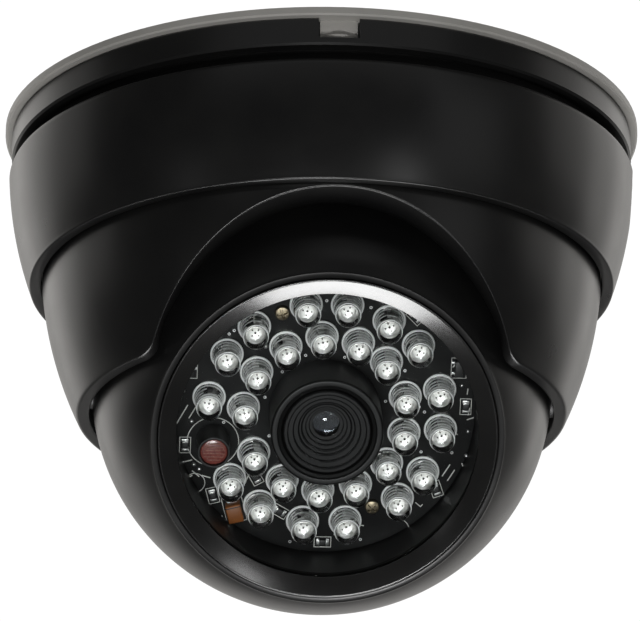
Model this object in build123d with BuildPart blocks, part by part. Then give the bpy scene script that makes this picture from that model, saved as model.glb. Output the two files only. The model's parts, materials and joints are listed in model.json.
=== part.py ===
from build123d import *
import math
import os

# Infrared dome camera for a ceiling. Millimetres, +Z up, the lens looks toward -Y.
# The origin is the centre of the ceiling face of the mounting plate, and the camera hangs below it.
# "Depth" below means the distance down from the ceiling.

# Length of a cut that runs right out through a wall
CUT = 12.0

# Base and cover
PLATE_R = 56.0
PLATE_T = 1.4
PLATE_CHAMFER = 0.3
KEY_AT = 52.95
KEY_T = 0.5
KEY_W = 6.4
KEY_BOTTOM = 5.0
KEY_LIP_R = 4.0
KEY_LIP_AT = 50.4
KEY_LIP_TOP = 4.3
BASE_R = 54.8
BASE_BOTTOM = 6.35
BASE_INNER_R = 46.5
BASE_CHAMFER = 0.35
FLOOR_BOTTOM = 3.4
FLOOR_HOLE_R = 20.0
CEILING_SCREW_R = 42.0
CEILING_SCREW_D = 4.5
SCREW_ACCESS_D = 8.6
CABLE_Y = 31.0
CABLE_HOLE_R = 6.0
CABLE_BORE_R = 2.6
SPIGOT_R = 49.9
SPIGOT_BOTTOM = 24.2
LUG_R = 51.4
LUG_TOP = 10.9
LUG_BOTTOM = 12.9
LUG_ANGLES = (60, 180, 300)
LUG_WIDTH = 12.0
LUG_LENGTH = 6.0
LUG_GAP_TURN = 25
GROOVE_R = 52.3
COVER_TOP = 9.0
COVER_TOP_R = 55.2
COVER_BOTTOM = 29.6
COVER_BOTTOM_R = 51.2
COVER_ARC_R = 68.0
COVER_WALL = 1.8
COVER_FLANGE_BOTTOM = 10.7
COVER_FLANGE_R = 50.3
COVER_SHOULDER = 0.9
COVER_LIP_ROUND = 0.35
COVER_LIP_TOP = 27.5
COVER_LIP_R = 49.35
POCKET_R = 4.9
POCKET_DEPTH_AT = 10.6
POCKET_FLOOR_X = 52.2
POCKET_PAD_T = 3.4
POCKET_PAD_W = 13.0
LOCK_SCREW_DEPTH = 12.8
LOCK_SCREW_R = 1.2
LOCK_HEAD_R = 2.1
LOCK_HEAD_T = 1.1
SIDE_NOTCH_W = 9.0
SIDE_NOTCH_R = 47.3
NOTCH_W = 7.0
NOTCH_START_R = 52.6
NOTCH_BOTTOM = 5.1
HOUSING_SCREW_R = 48.9
HOUSING_SCREW_ANGLES = (-90, 30, 150)
HOUSING_HEAD_R = 2.85
HOUSING_HEAD_BOTTOM = 5.6
HOUSING_HEAD_ROUND = 0.8
HOUSING_SHANK_R = 1.4
DRIVE_DEEP = 1.2
DRIVE_LONG = 3.2
DRIVE_WIDE = 0.7
CHANNEL_R = 3.2
GROMMET_TOP = 0.4
GROMMET_LIP_R = 7.6
GROMMET_LIP_T = 1.4

# Panning hood
FRICTION_BOTTOM = 25.4
HOOD_FLANGE_TOP = 25.5
HOOD_FLANGE_BOTTOM = 27.3
HOOD_FLANGE_R = 50.0
HOOD_TOP = 30.5
HOOD_TOP_R = 49.05
HOOD_BOTTOM = 53.5
HOOD_BOTTOM_R = 42.7
HOOD_ARC_R = 70.0
HOOD_WALL = 2.0
ARCH_R = 32.0
ARCH_DEPTH = 62.0
ARCH_CORNER_R = 3.0
ARCH_WALL = 2.0

# Eyeball
BALL_DEPTH = 47.4
BALL_R = 40.3
BALL_INNER_R = 38.1
BALL_CAVITY_R = 41.0
REST_ANGLE = 41.4
SPLIT = -6.0
FACE_FRONT = 26.9
SHELL_FRONT = 26.6
COLLAR_BORE_R = 29.3
COLLAR_R = 31.2
COLLAR_BACK = 19.5
LEDGE_FRONT = 20.1
LEDGE_BORE_R = 27.35
PIVOT_R = 3.0
PIVOT_END = 43.8
PIVOT_HEAD_R = 4.6
PIVOT_HEAD_T = 1.6
WASHER_R = 5.0
PIVOT_FACE = 39.4
PIVOT_PAD_R = 6.0
PIVOT_INNER = 36.4
BOSS_FACE = 41.1
BOSS_R = 5.9
BOSS_BORE_R = 3.05
BOSS_BORE_END = 44.0
PIVOT_CHAMFER = 0.4
SHELL_SCREW_XY = 24.5
SHELL_BOSS_R = 3.6
SHELL_SCREW_SEAT = -14.0
SHELL_SCREW_R = 1.1
SHELL_SCREW_HEAD_R = 2.4
SHELL_SCREW_HEAD_T = 1.6
REAR_HOLE_R = 4.0
REAR_BORE_R = 1.8

# Camera module, distances along the optical axis from the ball centre
BEZEL_R = 29.2
BEZEL_LIP_R = 28.9
BEZEL_INNER_R = 26.0
BEZEL_THROAT = 25.3
BEZEL_BACK = 20.2
SEAT_R = 27.0
WINDOW_FRONT = 25.1
WINDOW_BACK = 23.6
GASKET_BACK = 22.8
DRUM_INNER_R = 26.2
DRUM_BACK = 3.4
WEB_FRONT = 5.0
WEB_BORE_R = 12.0
FLANGE_R = 30.8
FLANGE_FRONT = 19.4
FLANGE_BACK = 17.6
BOARD_FRONT = 13.4
BOARD_T = 1.6
BOARD_R = 26.0
BOARD_HOLE_R = 7.9
LED_R = 2.5
LED_FLANGE_R = 2.9
LED_FLANGE_T = 1.0
LED_H = 8.6
OUTER_LED_R = 20.3
INNER_LED_R = 14.2
SHADE_R = 9.73
SHADE_CHAMFER = 0.3
BARREL_R = 7.53
BARREL_BACK = 17.0
BARREL_FRONT = 23.2
BARREL_TAIL = 2.6
MOUTH_STEPS = ((6.7, 22.4), (5.7, 21.7), (4.75, 21.0), (4.15, 20.4), (3.5, 19.8), (2.9, 19.2), (2.36, 18.2))
LENS_BORE_R = 3.4
GLASS_FRONT = 18.2
GLASS_BACK = 16.6
GLASS_DOME_R = 4.0
GLASS_RISE = 0.7
REAR_GLASS_T = 3.0
LOCK_RING_FRONT = 16.0
LOCK_RING_BACK = 14.2
THREAD_R = 6.0
HOLDER_BORE_R = 6.05
HOLDER_R = 7.3
SENSOR_FRONT = -0.4
SENSOR_BACK = -2.0
SENSOR_SIDE = 38.0
SENSOR_CORNER = 1.5
CHIP_FRONT = 0.7
CHIP_SIZE = (7.6, 6.8)
FILTER_FRONT = 1.6
FILTER_BACK = 0.9
FILTER_SIDE = 9.6
HOLDER_SIDE = 18.0
HOLDER_FOOT = 1.2
HOLDER_FRONT = 13.0
STANDOFF_R = 1.8
STANDOFF_XY = 16.5

# Clockwise angles of the diodes, seen from the front, from the top of the board
OUTER_LED_ANGLES = (-148, -127.5, -82.4, -58.6, -39, -11.4, 9, 31, 50.5, 76, 97, 121, 139.5, 168, 189)
INNER_LED_ANGLES = (-150.5, -121.5, -86.5, -58.4, -30.6, -4.2, 21.8, 46.3, 75.8, 103, 129, 155.9, 183)

LDR_AT = (-19.2, -5.5)
LDR_R = 2.4
LDR_H = 6.2
SHROUD_R = 2.85
SHROUD_H = 6.5
CAPACITOR_AT = (-15.1, -18.4)
CAPACITOR_SIZE = (2.7, 3.6)
CAPACITOR_H = 2.6
BOARD_SCREWS_AT = ((-8.0, 18.2), (8.9, -17.3))
BOARD_SCREW_R = 1.35
BOARD_SCREW_H = 0.9
RESISTOR_SIZE = (1.0, 1.7)
RESISTOR_H = 0.55
RESISTORS = (((-18.9, -15.9), 15), ((-11.6, -12.3), 30), ((-7.2, -18.6), 60), ((15.0, 17.9), 45),
             ((19.9, -13.9), 20), ((0.5, -24.2), 90), ((-24.0, -6.6), 0), ((24.4, 1.5), 0))
TRANSISTOR_SIZE = (1.4, 2.9)
TRANSISTOR_H = 1.0
TRANSISTORS_AT = ((-23.6, 7.6), (22.9, 8.6))

# Depth plane: its normal points down, its Y axis points to the front
ceiling = Plane(origin=(0, 0, 0), x_dir=(1, 0, 0), z_dir=(0, 0, -1))
ball_centre = (0, 0, -BALL_DEPTH)
tilt = math.radians(REST_ANGLE)
# Face plane: its normal is the optical axis, its X axis is the tilt axis
face = Plane(origin=ball_centre, x_dir=(1, 0, 0), z_dir=(0, -math.cos(tilt), -math.sin(tilt)))
side = Plane(origin=ball_centre, x_dir=(0, 1, 0), z_dir=(1, 0, 0))


def clock(radius, angle):
    """Point on the face at a clockwise angle from its top."""
    return radius * math.sin(math.radians(angle)), radius * math.cos(math.radians(angle))


def tube(plane, start, end, outer, inner=0, at=((0, 0),), mode=Mode.ADD):
    """Put round posts or tubes into the open part, between two distances along a plane's normal."""
    with BuildSketch(plane.offset(start)) as outline:
        with Locations(*at):
            Circle(outer)
            if inner:
                Circle(inner, mode=Mode.SUBTRACT)
    extrude(outline.sketch, amount=end - start, mode=mode)


def block(plane, start, end, width, height, at=((0, 0),), turn=0, mode=Mode.ADD):
    """Put rectangular blocks into the open part, between two distances along a plane's normal."""
    with BuildSketch(plane.offset(start)) as outline:
        with Locations(*at):
            Rectangle(width, height, rotation=turn)
    extrude(outline.sketch, amount=end - start, mode=mode)


def swept_wall(top, top_r, bottom, bottom_r, arc_r, wall=0):
    """Revolve a bulging bell: a wall of even thickness, or a solid bell when no thickness is given."""
    with BuildSketch(Plane.XZ) as section:
        with BuildLine():
            RadiusArc((top_r, -top), (bottom_r, -bottom), arc_r)
            if wall:
                Line((bottom_r, -bottom), (bottom_r - wall, -bottom))
                RadiusArc((bottom_r - wall, -bottom), (top_r - wall, -top), wall - arc_r)
                Line((top_r - wall, -top), (top_r, -top))
            else:
                Line((bottom_r, -bottom), (0, -bottom))
                Line((0, -bottom), (0, -top))
                Line((0, -top), (top_r, -top))
        make_face()
    revolve(section.sketch, axis=Axis.Z)


def front_arch(margin):
    """Front outline of the hood's cut-out, grown outward by a margin."""
    with BuildSketch(Plane.XZ) as outline:
        with Locations((0, -ARCH_DEPTH)):
            Circle(ARCH_R + margin)
        with Locations((0, -HOOD_BOTTOM + margin)):
            Rectangle(2 * PLATE_R, ARCH_R, align=(Align.CENTER, Align.MAX))
        corners = outline.vertices().filter_by(lambda v: abs(v.Z + HOOD_BOTTOM - margin) < 0.01)
        fillet(corners.sort_by(lambda v: abs(v.X))[:2], ARCH_CORNER_R - margin)
    return outline.sketch


def rims(piece, radius):
    """Circular edges of a piece that have one radius."""
    return piece.edges().filter_by(GeomType.CIRCLE).filter_by(lambda e: abs(e.radius - radius) < 0.01)


def both_sides(start, end):
    """Two spans along the tilt axis, one on each side of the ball."""
    return (start, end), (-end, -start)


def save(piece, name):
    """Name a finished piece and write its STEP file."""
    piece.part.label = name
    export_step(piece.part, f"parts/{name}.step")


os.makedirs("parts", exist_ok=True)

screw_step = CEILING_SCREW_R / math.sqrt(2)
ceiling_screws_at = [(x, y) for x in (-screw_step, screw_step) for y in (-screw_step, screw_step)]
# One housing screw sits at the front, the other two at the back
housing_screws_at = [
    (HOUSING_SCREW_R * math.cos(math.radians(a)), -HOUSING_SCREW_R * math.sin(math.radians(a)))
    for a in HOUSING_SCREW_ANGLES
]

lock_screw_at = [(0, BALL_DEPTH - LOCK_SCREW_DEPTH)]

# ---------------------------------------------------------------- base

# Pale disc that is screwed to the ceiling
with BuildPart() as mounting_plate:
    tube(ceiling, 0, PLATE_T, PLATE_R)
    chamfer(mounting_plate.edges().filter_by(GeomType.CIRCLE).sort_by(Axis.Z)[0], PLATE_CHAMFER)
    # Locating key at the back of the base's front notch, with a curved lip along its lower edge
    block(ceiling, PLATE_T, KEY_BOTTOM, KEY_W, KEY_T, at=((0, KEY_AT),))
    with BuildSketch(ceiling.offset(KEY_LIP_TOP)) as key_lip:
        with Locations((0, KEY_LIP_AT)):
            Circle(KEY_LIP_R)
        with Locations((0, KEY_AT + KEY_LIP_R)):
            Rectangle(KEY_W, 2 * KEY_LIP_R, mode=Mode.INTERSECT)
    extrude(amount=KEY_BOTTOM - KEY_LIP_TOP)
    tube(ceiling, 0, PLATE_T, CEILING_SCREW_D / 2, at=ceiling_screws_at, mode=Mode.SUBTRACT)
    tube(ceiling, 0, PLATE_T, HOUSING_SHANK_R, at=housing_screws_at, mode=Mode.SUBTRACT)
    tube(ceiling, 0, PLATE_T, CABLE_HOLE_R, at=((0, -CABLE_Y),), mode=Mode.SUBTRACT)
save(mounting_plate, "mounting_plate")

# Black base: ring, floor, and the spigot that carries the cover and the hood
with BuildPart() as base_housing:
    tube(ceiling, PLATE_T, FLOOR_BOTTOM, BASE_R, FLOOR_HOLE_R)
    tube(ceiling, FLOOR_BOTTOM, BASE_BOTTOM, BASE_R, BASE_INNER_R)
    tube(ceiling, BASE_BOTTOM, SPIGOT_BOTTOM, SPIGOT_R, BASE_INNER_R)
    chamfer(rims(base_housing, BASE_R), BASE_CHAMFER)
    # Bayonet lugs
    with BuildSketch(ceiling.offset(LUG_TOP)) as lugs:
        with PolarLocations(LUG_R - LUG_LENGTH / 4, len(LUG_ANGLES), start_angle=LUG_ANGLES[0]):
            Rectangle(LUG_LENGTH, LUG_WIDTH)
        Circle(LUG_R, mode=Mode.INTERSECT)
        Circle(SPIGOT_R - 1, mode=Mode.SUBTRACT)
    extrude(amount=LUG_BOTTOM - LUG_TOP)
    # Screw seats, hidden by the cover once it is on
    tube(ceiling, PLATE_T, FLOOR_BOTTOM, HOUSING_SHANK_R, at=housing_screws_at, mode=Mode.SUBTRACT)
    tube(ceiling, FLOOR_BOTTOM, BASE_BOTTOM, CHANNEL_R, at=housing_screws_at, mode=Mode.SUBTRACT)
    # Release notch at the front and cable notch at the right side
    front_notch_at = [(0, NOTCH_START_R + CUT / 2)]
    block(ceiling, PLATE_T, NOTCH_BOTTOM, NOTCH_W, CUT, at=front_notch_at, mode=Mode.SUBTRACT)
    side_notch_at = [(SIDE_NOTCH_R + CUT / 2, 0)]
    block(ceiling, PLATE_T, BASE_BOTTOM, CUT, SIDE_NOTCH_W, at=side_notch_at, mode=Mode.SUBTRACT)
    # Openings over the ceiling screws and the cable
    tube(ceiling, PLATE_T, FLOOR_BOTTOM, SCREW_ACCESS_D / 2, at=ceiling_screws_at, mode=Mode.SUBTRACT)
    tube(ceiling, PLATE_T, FLOOR_BOTTOM, CABLE_HOLE_R, at=((0, -CABLE_Y),), mode=Mode.SUBTRACT)
save(base_housing, "base_housing")

# Three pan-head screws that hold the base to the plate; one shows in the front notch
with BuildPart() as housing_screws:
    tube(ceiling, FLOOR_BOTTOM, HOUSING_HEAD_BOTTOM, HOUSING_HEAD_R, at=housing_screws_at)
    fillet(housing_screws.edges().filter_by(GeomType.CIRCLE).group_by(Axis.Z)[0], HOUSING_HEAD_ROUND)
    tube(ceiling, PLATE_CHAMFER, FLOOR_BOTTOM, HOUSING_SHANK_R, at=housing_screws_at)
    for width, height in ((DRIVE_LONG, DRIVE_WIDE), (DRIVE_WIDE, DRIVE_LONG)):
        block(ceiling, HOUSING_HEAD_BOTTOM - DRIVE_DEEP, HOUSING_HEAD_BOTTOM, width, height,
              at=housing_screws_at, mode=Mode.SUBTRACT)
save(housing_screws, "housing_screws")

# Rubber ring squeezed between base and cover; it is the floor of the black groove
with BuildPart() as seal_ring:
    tube(ceiling, BASE_BOTTOM, COVER_TOP, GROOVE_R, SPIGOT_R)
save(seal_ring, "seal_ring")

# Fixed bell cover
with BuildPart() as dome_cover:
    swept_wall(COVER_TOP, COVER_TOP_R, COVER_BOTTOM, COVER_BOTTOM_R, COVER_ARC_R, COVER_WALL)
    fillet(rims(dome_cover, COVER_TOP_R), COVER_SHOULDER)
    fillet(rims(dome_cover, COVER_BOTTOM_R), COVER_LIP_ROUND)
    tube(ceiling, COVER_TOP, COVER_FLANGE_BOTTOM, COVER_TOP_R - 1.2, COVER_FLANGE_R)
    tube(ceiling, COVER_LIP_TOP, COVER_BOTTOM, COVER_BOTTOM_R - 1, COVER_LIP_R - 0.5)
    tube(ceiling, COVER_LIP_TOP - 1, COVER_BOTTOM + 1, COVER_LIP_R, mode=Mode.SUBTRACT)
    # Gaps in the top flange that let the bayonet lugs through when the cover is turned
    with BuildSketch(ceiling.offset(COVER_TOP)) as lug_gaps:
        gap_start = LUG_ANGLES[0] + LUG_GAP_TURN
        with PolarLocations(LUG_R - LUG_LENGTH / 4, len(LUG_ANGLES), start_angle=gap_start):
            Rectangle(LUG_LENGTH - 1, LUG_WIDTH + 2)
        Circle(LUG_R + 0.4, mode=Mode.INTERSECT)
    extrude(amount=COVER_FLANGE_BOTTOM - COVER_TOP, mode=Mode.SUBTRACT)
    # Scalloped finger pocket in the right shoulder, closed behind by a pad
    block(ceiling, COVER_FLANGE_BOTTOM, POCKET_DEPTH_AT + POCKET_R + 2, POCKET_PAD_T, POCKET_PAD_W,
          at=((POCKET_FLOOR_X - 0.1, 0),))
    pocket_at = [(0, BALL_DEPTH - POCKET_DEPTH_AT)]
    tube(side, POCKET_FLOOR_X, PLATE_R + 2, POCKET_R, at=pocket_at, mode=Mode.SUBTRACT)
    block(ceiling, COVER_TOP, POCKET_DEPTH_AT, CUT, 2 * POCKET_R, at=((POCKET_FLOOR_X + CUT / 2, 0),),
          mode=Mode.SUBTRACT)
    tube(side, POCKET_FLOOR_X - 3, POCKET_FLOOR_X, LOCK_SCREW_R, at=lock_screw_at, mode=Mode.SUBTRACT)
save(dome_cover, "dome_cover")

# Small screw in the finger pocket that keeps the cover from turning back
with BuildPart() as cover_lock_screw:
    tube(side, POCKET_FLOOR_X - 1.7, POCKET_FLOOR_X, LOCK_SCREW_R, at=lock_screw_at)
    tube(side, POCKET_FLOOR_X, POCKET_FLOOR_X + LOCK_HEAD_T, LOCK_HEAD_R, at=lock_screw_at)
    fillet(cover_lock_screw.edges().filter_by(GeomType.CIRCLE).sort_by(Axis.X)[-1], 0.4)
    block(side, POCKET_FLOOR_X + LOCK_HEAD_T / 2, POCKET_FLOOR_X + LOCK_HEAD_T, 0.5, 2.6,
          at=lock_screw_at, mode=Mode.SUBTRACT)
save(cover_lock_screw, "cover_lock_screw")

# Rubber bush in the ceiling cable hole
with BuildPart() as cable_grommet:
    tube(ceiling, GROMMET_TOP, FLOOR_BOTTOM, CABLE_HOLE_R, CABLE_BORE_R, at=((0, -CABLE_Y),))
    tube(ceiling, FLOOR_BOTTOM, FLOOR_BOTTOM + GROMMET_LIP_T, GROMMET_LIP_R, CABLE_BORE_R,
         at=((0, -CABLE_Y),))
save(cable_grommet, "cable_grommet")

# Slip ring under the spigot that drags on the hood's flange
with BuildPart() as pan_friction_ring:
    tube(ceiling, SPIGOT_BOTTOM, FRICTION_BOTTOM, SPIGOT_R, BASE_INNER_R)
save(pan_friction_ring, "pan_friction_ring")

# ---------------------------------------------------------------- panning hood

# Solid envelope of the hood, used to trim what grows inside it
with BuildPart() as hood_envelope:
    swept_wall(HOOD_TOP, HOOD_TOP_R, HOOD_BOTTOM, HOOD_BOTTOM_R, HOOD_ARC_R)
    tube(ceiling, HOOD_FLANGE_TOP, HOOD_TOP, HOOD_TOP_R)

with BuildPart() as hood:
    swept_wall(HOOD_TOP, HOOD_TOP_R, HOOD_BOTTOM, HOOD_BOTTOM_R, HOOD_ARC_R, HOOD_WALL)
    # Bearing bosses for the tilt pivots, and the wall that frames the arch down to the ball
    for start, end in both_sides(BOSS_FACE - 1, HOOD_TOP_R):
        tube(side, start, end, BOSS_R)
    extrude(front_arch(ARCH_WALL) - front_arch(0), amount=HOOD_TOP_R)
    add(hood_envelope.part, mode=Mode.INTERSECT)
    tube(ceiling, HOOD_FLANGE_TOP, HOOD_TOP, HOOD_TOP_R, HOOD_TOP_R - HOOD_WALL)
    tube(ceiling, HOOD_FLANGE_TOP, HOOD_FLANGE_BOTTOM, HOOD_FLANGE_R, HOOD_TOP_R - HOOD_WALL)
    with Locations(ball_centre):
        Sphere(BALL_CAVITY_R, mode=Mode.SUBTRACT)
    tube(ceiling, HOOD_TOP, BALL_DEPTH, BALL_CAVITY_R, mode=Mode.SUBTRACT)
    extrude(front_arch(0), amount=PLATE_R, mode=Mode.SUBTRACT)
    for start, end in both_sides(BOSS_FACE - 3, BOSS_FACE):
        tube(side, start, end, BOSS_R, mode=Mode.SUBTRACT)
    for start, end in both_sides(BOSS_FACE - 3, BOSS_BORE_END):
        tube(side, start, end, BOSS_BORE_R, mode=Mode.SUBTRACT)
save(hood, "hood")

# ---------------------------------------------------------------- eyeball

shell_screw_steps = (-SHELL_SCREW_XY, SHELL_SCREW_XY)
shell_screws_at = [(x, y) for x in shell_screw_steps for y in shell_screw_steps]

# Front half, with the collar that the camera module turns in
with BuildPart() as eyeball_shell_front:
    with Locations(ball_centre):
        Sphere(BALL_R)
        Sphere(BALL_INNER_R, mode=Mode.SUBTRACT)
    tube(face, COLLAR_BACK, SHELL_FRONT + 1, COLLAR_R, LEDGE_BORE_R)
    for start, end in both_sides(PIVOT_INNER, BALL_R):
        tube(side, start, end, PIVOT_PAD_R)
    tube(face, SPLIT, 4, SHELL_BOSS_R, at=shell_screws_at)
    with Locations(ball_centre):
        Sphere(BALL_R, mode=Mode.INTERSECT)
    tube(face, -BALL_R - 1, SPLIT, BALL_R + 2, mode=Mode.SUBTRACT)
    tube(face, SHELL_FRONT, BALL_R + 1, BALL_R, mode=Mode.SUBTRACT)
    tube(face, LEDGE_FRONT, SHELL_FRONT, COLLAR_BORE_R, mode=Mode.SUBTRACT)
    tube(face, SPLIT, 2, SHELL_SCREW_R, at=shell_screws_at, mode=Mode.SUBTRACT)
    for start, end in both_sides(PIVOT_FACE, BALL_R + 1):
        tube(side, start, end, BOSS_R, mode=Mode.SUBTRACT)
    for start, end in both_sides(PIVOT_INNER - 1, BALL_R):
        tube(side, start, end, PIVOT_R, mode=Mode.SUBTRACT)
save(eyeball_shell_front, "eyeball_shell_front")

# Rear half, screwed on from behind
with BuildPart() as eyeball_shell_rear:
    with Locations(ball_centre):
        Sphere(BALL_R)
        Sphere(BALL_INNER_R, mode=Mode.SUBTRACT)
    tube(face, -BALL_R, SPLIT, SHELL_BOSS_R, at=shell_screws_at)
    with Locations(ball_centre):
        Sphere(BALL_R, mode=Mode.INTERSECT)
    tube(face, SPLIT, BALL_R + 1, BALL_R + 2, mode=Mode.SUBTRACT)
    tube(face, SHELL_SCREW_SEAT, SPLIT, SHELL_SCREW_R, at=shell_screws_at, mode=Mode.SUBTRACT)
    tube(face, -BALL_R, SHELL_SCREW_SEAT, SHELL_SCREW_HEAD_R + 0.2, at=shell_screws_at, mode=Mode.SUBTRACT)
    tube(face, -BALL_R - 1, -BALL_INNER_R + 3, REAR_HOLE_R, mode=Mode.SUBTRACT)
save(eyeball_shell_rear, "eyeball_shell_rear")

with BuildPart() as tilt_pivot_right:
    tube(side, PIVOT_INNER, PIVOT_END, PIVOT_R)
    tube(side, PIVOT_INNER - PIVOT_HEAD_T, PIVOT_INNER, PIVOT_HEAD_R)
    chamfer(tilt_pivot_right.edges().filter_by(GeomType.CIRCLE).sort_by(Axis.X)[-1], PIVOT_CHAMFER)
save(tilt_pivot_right, "tilt_pivot_right")

with BuildPart() as tilt_pivot_left:
    tube(side, -PIVOT_END, -PIVOT_INNER, PIVOT_R)
    tube(side, -PIVOT_INNER, -PIVOT_INNER + PIVOT_HEAD_T, PIVOT_HEAD_R)
    chamfer(tilt_pivot_left.edges().filter_by(GeomType.CIRCLE).sort_by(Axis.X)[0], PIVOT_CHAMFER)
save(tilt_pivot_left, "tilt_pivot_left")

with BuildPart() as tilt_friction_washers:
    for start, end in both_sides(PIVOT_FACE, BOSS_FACE - 0.1):
        tube(side, start, end, WASHER_R, PIVOT_R)
save(tilt_friction_washers, "tilt_friction_washers")

with BuildPart() as shell_screws:
    tube(face, SHELL_SCREW_SEAT, 1.5, SHELL_SCREW_R, at=shell_screws_at)
    tube(face, SHELL_SCREW_SEAT - SHELL_SCREW_HEAD_T, SHELL_SCREW_SEAT, SHELL_SCREW_HEAD_R,
         at=shell_screws_at)
save(shell_screws, "shell_screws")

with BuildPart() as rear_cable_grommet:
    tube(face, -BALL_R - 1.6, -BALL_R + 0.4, REAR_HOLE_R + 1.4)
    with Locations(ball_centre):
        Sphere(BALL_R, mode=Mode.SUBTRACT)
    tube(face, -BALL_R - 1, -BALL_INNER_R + 0.7, REAR_HOLE_R)
    tube(face, -BALL_INNER_R + 0.7, -BALL_INNER_R + 1.9, REAR_HOLE_R + 1.2)
    tube(face, -BALL_R - 2, -BALL_INNER_R + 2, REAR_BORE_R, mode=Mode.SUBTRACT)
save(rear_cable_grommet, "rear_cable_grommet")

# ---------------------------------------------------------------- camera module

with BuildPart() as bezel_ring:
    tube(face, BEZEL_BACK, FACE_FRONT, BEZEL_R)
    with BuildSketch(face.offset(FACE_FRONT)) as funnel_mouth:
        Circle(BEZEL_LIP_R)
    with BuildSketch(face.offset(BEZEL_THROAT)) as funnel_throat:
        Circle(BEZEL_INNER_R)
    loft(mode=Mode.SUBTRACT)
    tube(face, WINDOW_FRONT, BEZEL_THROAT, BEZEL_INNER_R, mode=Mode.SUBTRACT)
    tube(face, BEZEL_BACK, WINDOW_FRONT, SEAT_R, mode=Mode.SUBTRACT)
save(bezel_ring, "bezel_ring")

with BuildPart() as front_window:
    tube(face, WINDOW_BACK, WINDOW_FRONT, SEAT_R)
save(front_window, "front_window")

with BuildPart() as window_gasket:
    tube(face, GASKET_BACK, WINDOW_BACK, SEAT_R, DRUM_INNER_R)
save(window_gasket, "window_gasket")

standoff_steps = (-STANDOFF_XY, STANDOFF_XY)
standoffs_at = [(x, y) for x in standoff_steps for y in standoff_steps]

# Drum that carries the boards and keeps the module in the collar
with BuildPart() as module_carrier:
    tube(face, DRUM_BACK, GASKET_BACK, SEAT_R, DRUM_INNER_R)
    tube(face, FLANGE_BACK, FLANGE_FRONT, FLANGE_R, DRUM_INNER_R)
    tube(face, DRUM_BACK, WEB_FRONT, SEAT_R, WEB_BORE_R)
    tube(face, BOARD_FRONT - BOARD_T - 1, BOARD_FRONT - BOARD_T, SEAT_R, BOARD_R - 1)
save(module_carrier, "module_carrier")

with BuildPart() as led_board:
    tube(face, BOARD_FRONT - BOARD_T, BOARD_FRONT, BOARD_R, BOARD_HOLE_R)
save(led_board, "led_board")


def diodes(ring_r, angles):
    """Clear 5 mm diodes on one ring: flange, round body and domed tip."""
    spots = [clock(ring_r, a) for a in angles]
    tube(face, BOARD_FRONT, BOARD_FRONT + LED_FLANGE_T, LED_FLANGE_R, at=spots)
    tube(face, BOARD_FRONT + LED_FLANGE_T, BOARD_FRONT + LED_H - LED_R, LED_R, at=spots)
    with Locations(face.offset(BOARD_FRONT + LED_H - LED_R)):
        with Locations(*spots):
            Sphere(LED_R)


with BuildPart() as ir_leds_outer:
    diodes(OUTER_LED_R, OUTER_LED_ANGLES)
save(ir_leds_outer, "ir_leds_outer")

with BuildPart() as ir_leds_inner:
    diodes(INNER_LED_R, INNER_LED_ANGLES)
save(ir_leds_inner, "ir_leds_inner")

with BuildPart() as board_screws:
    tube(face, BOARD_FRONT, BOARD_FRONT + BOARD_SCREW_H, BOARD_SCREW_R, at=BOARD_SCREWS_AT)
    fillet(board_screws.edges().filter_by(GeomType.CIRCLE), BOARD_SCREW_R / 5)
    tube(face, BOARD_FRONT + BOARD_SCREW_H / 2, BOARD_FRONT + BOARD_SCREW_H, BOARD_SCREW_R / 3,
         at=BOARD_SCREWS_AT, mode=Mode.SUBTRACT)
save(board_screws, "board_screws")

with BuildPart() as board_standoffs:
    tube(face, WEB_FRONT, BOARD_FRONT - BOARD_T, STANDOFF_R, at=BOARD_SCREWS_AT)
save(board_standoffs, "board_standoffs")

# Light sensor that switches the diodes on in the dark, in its black shroud
with BuildPart() as ldr_sensor:
    tube(face, BOARD_FRONT, BOARD_FRONT + LDR_H, LDR_R, at=(LDR_AT,))
save(ldr_sensor, "ldr_sensor")

with BuildPart() as ldr_shroud:
    tube(face, BOARD_FRONT, BOARD_FRONT + SHROUD_H, SHROUD_R, LDR_R, at=(LDR_AT,))
save(ldr_shroud, "ldr_shroud")

with BuildPart() as tantalum_capacitor:
    block(face, BOARD_FRONT, BOARD_FRONT + CAPACITOR_H, *CAPACITOR_SIZE, at=(CAPACITOR_AT,), turn=15)
    chamfer(tantalum_capacitor.faces().sort_by(SortBy.AREA)[-1].edges(), 0.25)
save(tantalum_capacitor, "tantalum_capacitor")

with BuildPart() as smd_resistors:
    for spot, turn in RESISTORS:
        block(face, BOARD_FRONT, BOARD_FRONT + RESISTOR_H, *RESISTOR_SIZE, at=(spot,), turn=turn)
save(smd_resistors, "smd_resistors")

with BuildPart() as smd_transistors:
    block(face, BOARD_FRONT, BOARD_FRONT + TRANSISTOR_H, *TRANSISTOR_SIZE, at=TRANSISTORS_AT)
save(smd_transistors, "smd_transistors")

with BuildPart() as lens_shade_ring:
    tube(face, BOARD_FRONT, WINDOW_BACK, SHADE_R, BOARD_HOLE_R)
    chamfer(rims(lens_shade_ring, SHADE_R).sort_by(Axis.Z)[0], SHADE_CHAMFER)
save(lens_shade_ring, "lens_shade_ring")

with BuildPart() as lens_holder:
    block(face, SENSOR_FRONT, HOLDER_FOOT, HOLDER_SIDE, HOLDER_SIDE)
    tube(face, HOLDER_FOOT, HOLDER_FRONT, HOLDER_R)
    tube(face, FILTER_FRONT, HOLDER_FRONT + 1, HOLDER_BORE_R, mode=Mode.SUBTRACT)
    block(face, SENSOR_FRONT, FILTER_FRONT, FILTER_SIDE, FILTER_SIDE, mode=Mode.SUBTRACT)
save(lens_holder, "lens_holder")

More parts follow.
